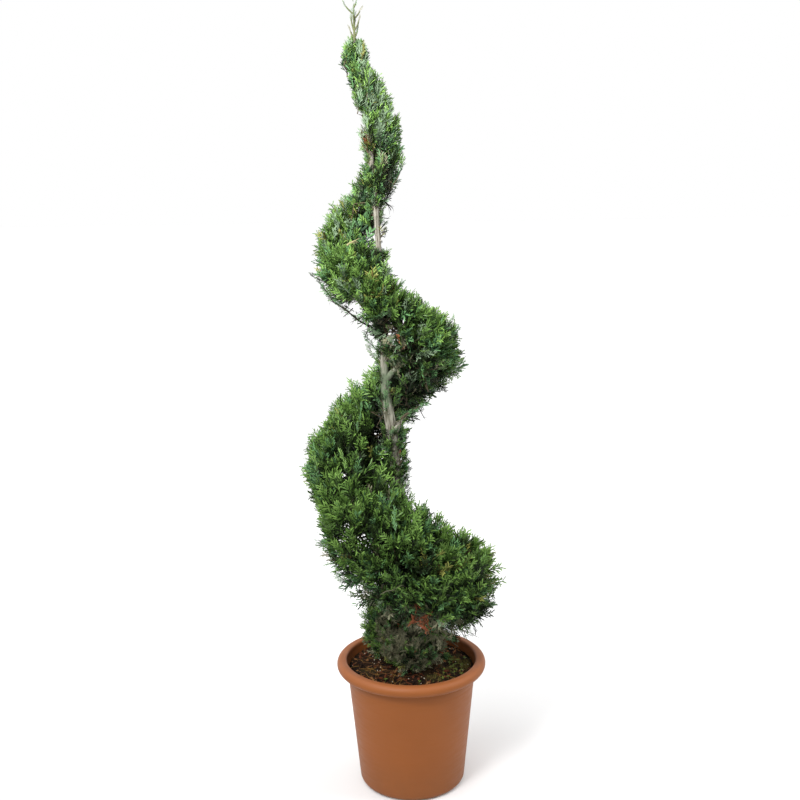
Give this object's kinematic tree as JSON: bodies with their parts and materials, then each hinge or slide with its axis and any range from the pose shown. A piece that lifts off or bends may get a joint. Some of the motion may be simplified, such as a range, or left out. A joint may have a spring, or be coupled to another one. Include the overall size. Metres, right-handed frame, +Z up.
{
  "type": "spiral topiary",
  "caption": "Conifer clipped to a rising spiral ribbon round one upright trunk, standing in a round terracotta-coloured plastic pot with a rolled rim.",
  "frame": {"origin": "middle of the pot's flat underside, on the pot's own axis", "axes": "+Z up the pot's axis; the pictured side faces -Y, and +X is to its right"},
  "size_m": [0.4256, 0.4054, 1.626],
  "materials": {
    "pot": "injection-moulded terracotta-coloured plastic, matt",
    "soil": "moist bark compost",
    "bark": "grey-brown bark",
    "foliage": "clipped scale-leaved sprays"
  },
  "bodies": {
    "root": {"pot": "pot", "soil": "soil", "trunk": "bark", "leader": "foliage", "bough_01": "bark", "bough_02": "bark", "bough_03": "bark", "bough_04": "bark", "bough_05": "bark", "bough_06": "bark", "bough_07": "bark", "bough_08": "bark", "bough_09": "bark", "bough_10": "bark", "bough_11": "bark", "bough_12": "bark", "bough_13": "bark", "bough_14": "bark", "bough_15": "bark", "bough_16": "bark", "foliage_01": "foliage", "foliage_02": "foliage", "foliage_03": "foliage", "foliage_04": "foliage", "foliage_05": "foliage", "foliage_06": "foliage", "foliage_07": "foliage", "foliage_08": "foliage", "foliage_09": "foliage", "foliage_10": "foliage", "foliage_11": "foliage", "foliage_12": "foliage", "foliage_13": "foliage", "foliage_14": "foliage", "foliage_15": "foliage", "foliage_16": "foliage"}
  },
  "joints": []
}
